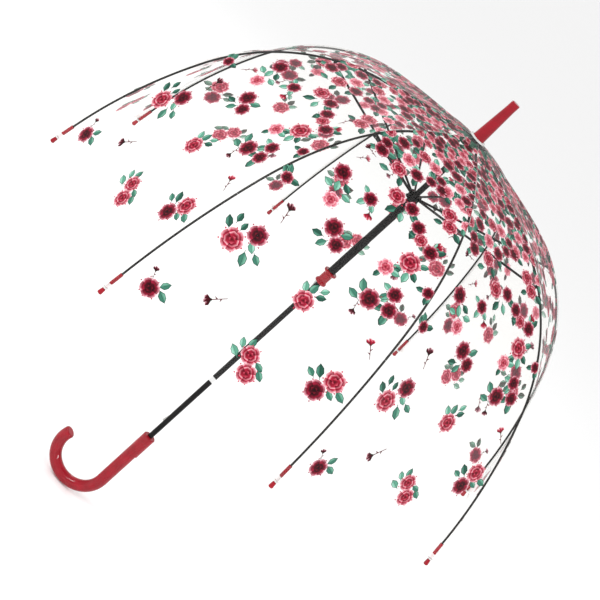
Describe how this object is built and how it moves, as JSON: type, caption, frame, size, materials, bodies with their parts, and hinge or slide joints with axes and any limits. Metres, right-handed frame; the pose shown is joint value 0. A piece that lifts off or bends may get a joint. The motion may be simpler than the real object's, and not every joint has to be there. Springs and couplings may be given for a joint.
{
  "type": "dome umbrella",
  "caption": "Clear deep-dome umbrella with a rose print, a long sliding runner, bent ribs with capped tips, a straight shaft and a crook handle.",
  "frame": {"origin": "middle of the handle's straight grip, on the shaft's axis, where a hand holds it", "axes": "+Z along the shaft towards the ferrule, the crook turns towards -X, and the crook lies in the XZ plane"},
  "size_m": [0.779, 0.779, 0.9062],
  "materials": {
    "shaft_tube": "gloss black tube",
    "handle": "gloss red moulding",
    "ferrule": "gloss red moulding",
    "crown": "black moulding",
    "crown_wire": "drawn wire",
    "canopy_washer": "clear grey disc",
    "canopy": "clear film",
    "upper_catch": "spring steel",
    "lower_catch": "spring steel",
    "runner_sleeve": "black fluted moulding",
    "runner_grip": "gloss red moulding",
    "runner_notch": "black moulding",
    "rib_upper": "black steel",
    "rib_pin": "steel pin",
    "rib_middle": "black glass fibre rod",
    "rib_lower": "black glass fibre rod",
    "rib_tip": "gloss red moulding",
    "stretcher": "black steel"
  },
  "bodies": {
    "shaft": {"shaft_tube": "shaft_tube", "handle": "handle", "ferrule": "ferrule", "crown": "crown", "crown_wire": "crown_wire", "canopy_washer": "canopy_washer", "canopy": "canopy"},
    "upper_catch": {"upper_catch": "upper_catch"},
    "lower_catch": {"lower_catch": "lower_catch"},
    "runner": {"runner_sleeve": "runner_sleeve", "runner_grip": "runner_grip", "runner_notch": "runner_notch"},
    "rib_upper_1": {"rib_upper_1": "rib_upper", "rib_pin_1": "rib_pin"},
    "rib_middle_1": {"rib_middle_1": "rib_middle"},
    "rib_lower_1": {"rib_lower_1": "rib_lower", "rib_tip_1": "rib_tip"},
    "stretcher_1": {"stretcher_1": "stretcher"},
    "rib_upper_2": {"rib_upper_2": "rib_upper", "rib_pin_2": "rib_pin"},
    "rib_middle_2": {"rib_middle_2": "rib_middle"},
    "rib_lower_2": {"rib_lower_2": "rib_lower", "rib_tip_2": "rib_tip"},
    "stretcher_2": {"stretcher_2": "stretcher"},
    "rib_upper_3": {"rib_upper_3": "rib_upper", "rib_pin_3": "rib_pin"},
    "rib_middle_3": {"rib_middle_3": "rib_middle"},
    "rib_lower_3": {"rib_lower_3": "rib_lower", "rib_tip_3": "rib_tip"},
    "stretcher_3": {"stretcher_3": "stretcher"},
    "rib_upper_4": {"rib_upper_4": "rib_upper", "rib_pin_4": "rib_pin"},
    "rib_middle_4": {"rib_middle_4": "rib_middle"},
    "rib_lower_4": {"rib_lower_4": "rib_lower", "rib_tip_4": "rib_tip"},
    "stretcher_4": {"stretcher_4": "stretcher"},
    "rib_upper_5": {"rib_upper_5": "rib_upper", "rib_pin_5": "rib_pin"},
    "rib_middle_5": {"rib_middle_5": "rib_middle"},
    "rib_lower_5": {"rib_lower_5": "rib_lower", "rib_tip_5": "rib_tip"},
    "stretcher_5": {"stretcher_5": "stretcher"},
    "rib_upper_6": {"rib_upper_6": "rib_upper", "rib_pin_6": "rib_pin"},
    "rib_middle_6": {"rib_middle_6": "rib_middle"},
    "rib_lower_6": {"rib_lower_6": "rib_lower", "rib_tip_6": "rib_tip"},
    "stretcher_6": {"stretcher_6": "stretcher"},
    "rib_upper_7": {"rib_upper_7": "rib_upper", "rib_pin_7": "rib_pin"},
    "rib_middle_7": {"rib_middle_7": "rib_middle"},
    "rib_lower_7": {"rib_lower_7": "rib_lower", "rib_tip_7": "rib_tip"},
    "stretcher_7": {"stretcher_7": "stretcher"},
    "rib_upper_8": {"rib_upper_8": "rib_upper", "rib_pin_8": "rib_pin"},
    "rib_middle_8": {"rib_middle_8": "rib_middle"},
    "rib_lower_8": {"rib_lower_8": "rib_lower", "rib_tip_8": "rib_tip"},
    "stretcher_8": {"stretcher_8": "stretcher"}
  },
  "joints": [
    {"name": "runner_slide", "type": "slide", "parent": "shaft", "child": "runner", "axis": [0, 0, 1], "range_m": [-0.32059, 0], "deforming": ["canopy", "upper_catch", "lower_catch"]},
    {"name": "upper_catch_press", "type": "slide", "parent": "shaft", "child": "upper_catch", "axis": [1, 0, 0], "range_m": [0, 0.0024], "stiffness_N_per_m": 800},
    {"name": "lower_catch_press", "type": "slide", "parent": "shaft", "child": "lower_catch", "axis": [1, 0, 0], "range_m": [0, 0.0024], "stiffness_N_per_m": 800},
    {"name": "rib_hinge_1", "type": "hinge", "parent": "shaft", "child": "rib_upper_1", "pos_m": [0.00776, 0.00321, 0.719], "axis": [-0.3827, 0.9239, 0], "range_deg": [0, 72.22]},
    {"name": "rib_flex_1", "type": "hinge", "parent": "rib_upper_1", "child": "rib_middle_1", "pos_m": [0.20955, 0.0868, 0.66401], "axis": [-0.3827, 0.9239, 0], "range_deg": [-30.85, 0]},
    {"name": "rib_end_flex_1", "type": "hinge", "parent": "rib_middle_1", "child": "rib_lower_1", "pos_m": [0.33236, 0.13767, 0.51308], "axis": [-0.3827, 0.9239, 0], "range_deg": [-24.42, 0]},
    {"name": "stretcher_hinge_1", "type": "hinge", "parent": "rib_upper_1", "child": "stretcher_1", "pos_m": [0.20203, 0.08368, 0.6615], "axis": [-0.3827, 0.9239, 0], "range_deg": [-144.42, 0]},
    {"name": "rib_hinge_2", "type": "hinge", "parent": "shaft", "child": "rib_upper_2", "pos_m": [0.00321, 0.00776, 0.719], "axis": [-0.9239, 0.3827, 0], "range_deg": [0, 72.22]},
    {"name": "rib_flex_2", "type": "hinge", "parent": "rib_upper_2", "child": "rib_middle_2", "pos_m": [0.0868, 0.20955, 0.66401], "axis": [-0.9239, 0.3827, 0], "range_deg": [-30.85, 0]},
    {"name": "rib_end_flex_2", "type": "hinge", "parent": "rib_middle_2", "child": "rib_lower_2", "pos_m": [0.13767, 0.33236, 0.51308], "axis": [-0.9239, 0.3827, 0], "range_deg": [-24.42, 0]},
    {"name": "stretcher_hinge_2", "type": "hinge", "parent": "rib_upper_2", "child": "stretcher_2", "pos_m": [0.08368, 0.20203, 0.6615], "axis": [-0.9239, 0.3827, 0], "range_deg": [-144.42, 0]},
    {"name": "rib_hinge_3", "type": "hinge", "parent": "shaft", "child": "rib_upper_3", "pos_m": [-0.00321, 0.00776, 0.719], "axis": [-0.9239, -0.3827, 0], "range_deg": [0, 72.22]},
    {"name": "rib_flex_3", "type": "hinge", "parent": "rib_upper_3", "child": "rib_middle_3", "pos_m": [-0.0868, 0.20955, 0.66401], "axis": [-0.9239, -0.3827, 0], "range_deg": [-30.85, 0]},
    {"name": "rib_end_flex_3", "type": "hinge", "parent": "rib_middle_3", "child": "rib_lower_3", "pos_m": [-0.13767, 0.33236, 0.51308], "axis": [-0.9239, -0.3827, 0], "range_deg": [-24.42, 0]},
    {"name": "stretcher_hinge_3", "type": "hinge", "parent": "rib_upper_3", "child": "stretcher_3", "pos_m": [-0.08368, 0.20203, 0.6615], "axis": [-0.9239, -0.3827, 0], "range_deg": [-144.42, 0]},
    {"name": "rib_hinge_4", "type": "hinge", "parent": "shaft", "child": "rib_upper_4", "pos_m": [-0.00776, 0.00321, 0.719], "axis": [-0.3827, -0.9239, 0], "range_deg": [0, 72.22]},
    {"name": "rib_flex_4", "type": "hinge", "parent": "rib_upper_4", "child": "rib_middle_4", "pos_m": [-0.20955, 0.0868, 0.66401], "axis": [-0.3827, -0.9239, 0], "range_deg": [-30.85, 0]},
    {"name": "rib_end_flex_4", "type": "hinge", "parent": "rib_middle_4", "child": "rib_lower_4", "pos_m": [-0.33236, 0.13767, 0.51308], "axis": [-0.3827, -0.9239, 0], "range_deg": [-24.42, 0]},
    {"name": "stretcher_hinge_4", "type": "hinge", "parent": "rib_upper_4", "child": "stretcher_4", "pos_m": [-0.20203, 0.08368, 0.6615], "axis": [-0.3827, -0.9239, 0], "range_deg": [-144.42, 0]},
    {"name": "rib_hinge_5", "type": "hinge", "parent": "shaft", "child": "rib_upper_5", "pos_m": [-0.00776, -0.00321, 0.719], "axis": [0.3827, -0.9239, 0], "range_deg": [0, 72.22]},
    {"name": "rib_flex_5", "type": "hinge", "parent": "rib_upper_5", "child": "rib_middle_5", "pos_m": [-0.20955, -0.0868, 0.66401], "axis": [0.3827, -0.9239, 0], "range_deg": [-30.85, 0]},
    {"name": "rib_end_flex_5", "type": "hinge", "parent": "rib_middle_5", "child": "rib_lower_5", "pos_m": [-0.33236, -0.13767, 0.51308], "axis": [0.3827, -0.9239, 0], "range_deg": [-24.42, 0]},
    {"name": "stretcher_hinge_5", "type": "hinge", "parent": "rib_upper_5", "child": "stretcher_5", "pos_m": [-0.20203, -0.08368, 0.6615], "axis": [0.3827, -0.9239, 0], "range_deg": [-144.42, 0]},
    {"name": "rib_hinge_6", "type": "hinge", "parent": "shaft", "child": "rib_upper_6", "pos_m": [-0.00321, -0.00776, 0.719], "axis": [0.9239, -0.3827, 0], "range_deg": [0, 72.22]},
    {"name": "rib_flex_6", "type": "hinge", "parent": "rib_upper_6", "child": "rib_middle_6", "pos_m": [-0.0868, -0.20955, 0.66401], "axis": [0.9239, -0.3827, 0], "range_deg": [-30.85, 0]},
    {"name": "rib_end_flex_6", "type": "hinge", "parent": "rib_middle_6", "child": "rib_lower_6", "pos_m": [-0.13767, -0.33236, 0.51308], "axis": [0.9239, -0.3827, 0], "range_deg": [-24.42, 0]},
    {"name": "stretcher_hinge_6", "type": "hinge", "parent": "rib_upper_6", "child": "stretcher_6", "pos_m": [-0.08368, -0.20203, 0.6615], "axis": [0.9239, -0.3827, 0], "range_deg": [-144.42, 0]},
    {"name": "rib_hinge_7", "type": "hinge", "parent": "shaft", "child": "rib_upper_7", "pos_m": [0.00321, -0.00776, 0.719], "axis": [0.9239, 0.3827, 0], "range_deg": [0, 72.22]},
    {"name": "rib_flex_7", "type": "hinge", "parent": "rib_upper_7", "child": "rib_middle_7", "pos_m": [0.0868, -0.20955, 0.66401], "axis": [0.9239, 0.3827, 0], "range_deg": [-30.85, 0]},
    {"name": "rib_end_flex_7", "type": "hinge", "parent": "rib_middle_7", "child": "rib_lower_7", "pos_m": [0.13767, -0.33236, 0.51308], "axis": [0.9239, 0.3827, 0], "range_deg": [-24.42, 0]},
    {"name": "stretcher_hinge_7", "type": "hinge", "parent": "rib_upper_7", "child": "stretcher_7", "pos_m": [0.08368, -0.20203, 0.6615], "axis": [0.9239, 0.3827, 0], "range_deg": [-144.42, 0]},
    {"name": "rib_hinge_8", "type": "hinge", "parent": "shaft", "child": "rib_upper_8", "pos_m": [0.00776, -0.00321, 0.719], "axis": [0.3827, 0.9239, 0], "range_deg": [0, 72.22]},
    {"name": "rib_flex_8", "type": "hinge", "parent": "rib_upper_8", "child": "rib_middle_8", "pos_m": [0.20955, -0.0868, 0.66401], "axis": [0.3827, 0.9239, 0], "range_deg": [-30.85, 0]},
    {"name": "rib_end_flex_8", "type": "hinge", "parent": "rib_middle_8", "child": "rib_lower_8", "pos_m": [0.33236, -0.13767, 0.51308], "axis": [0.3827, 0.9239, 0], "range_deg": [-24.42, 0]},
    {"name": "stretcher_hinge_8", "type": "hinge", "parent": "rib_upper_8", "child": "stretcher_8", "pos_m": [0.20203, -0.08368, 0.6615], "axis": [0.3827, 0.9239, 0], "range_deg": [-144.42, 0]}
  ],
  "couplings": [
    {"joint": "rib_hinge_1", "follows": "runner_slide", "rad_per_m": -3.9311},
    {"joint": "rib_flex_1", "follows": "runner_slide", "rad_per_m": 1.6791},
    {"joint": "rib_end_flex_1", "follows": "runner_slide", "rad_per_m": 1.3291},
    {"joint": "stretcher_hinge_1", "follows": "runner_slide", "rad_per_m": 7.8621},
    {"joint": "rib_hinge_2", "follows": "runner_slide", "rad_per_m": -3.9311},
    {"joint": "rib_flex_2", "follows": "runner_slide", "rad_per_m": 1.6791},
    {"joint": "rib_end_flex_2", "follows": "runner_slide", "rad_per_m": 1.3291},
    {"joint": "stretcher_hinge_2", "follows": "runner_slide", "rad_per_m": 7.8621},
    {"joint": "rib_hinge_3", "follows": "runner_slide", "rad_per_m": -3.9311},
    {"joint": "rib_flex_3", "follows": "runner_slide", "rad_per_m": 1.6791},
    {"joint": "rib_end_flex_3", "follows": "runner_slide", "rad_per_m": 1.3291},
    {"joint": "stretcher_hinge_3", "follows": "runner_slide", "rad_per_m": 7.8621},
    {"joint": "rib_hinge_4", "follows": "runner_slide", "rad_per_m": -3.9311},
    {"joint": "rib_flex_4", "follows": "runner_slide", "rad_per_m": 1.6791},
    {"joint": "rib_end_flex_4", "follows": "runner_slide", "rad_per_m": 1.3291},
    {"joint": "stretcher_hinge_4", "follows": "runner_slide", "rad_per_m": 7.8621},
    {"joint": "rib_hinge_5", "follows": "runner_slide", "rad_per_m": -3.9311},
    {"joint": "rib_flex_5", "follows": "runner_slide", "rad_per_m": 1.6791},
    {"joint": "rib_end_flex_5", "follows": "runner_slide", "rad_per_m": 1.3291},
    {"joint": "stretcher_hinge_5", "follows": "runner_slide", "rad_per_m": 7.8621},
    {"joint": "rib_hinge_6", "follows": "runner_slide", "rad_per_m": -3.9311},
    {"joint": "rib_flex_6", "follows": "runner_slide", "rad_per_m": 1.6791},
    {"joint": "rib_end_flex_6", "follows": "runner_slide", "rad_per_m": 1.3291},
    {"joint": "stretcher_hinge_6", "follows": "runner_slide", "rad_per_m": 7.8621},
    {"joint": "rib_hinge_7", "follows": "runner_slide", "rad_per_m": -3.9311},
    {"joint": "rib_flex_7", "follows": "runner_slide", "rad_per_m": 1.6791},
    {"joint": "rib_end_flex_7", "follows": "runner_slide", "rad_per_m": 1.3291},
    {"joint": "stretcher_hinge_7", "follows": "runner_slide", "rad_per_m": 7.8621},
    {"joint": "rib_hinge_8", "follows": "runner_slide", "rad_per_m": -3.9311},
    {"joint": "rib_flex_8", "follows": "runner_slide", "rad_per_m": 1.6791},
    {"joint": "rib_end_flex_8", "follows": "runner_slide", "rad_per_m": 1.3291},
    {"joint": "stretcher_hinge_8", "follows": "runner_slide", "rad_per_m": 7.8621}
  ]
}
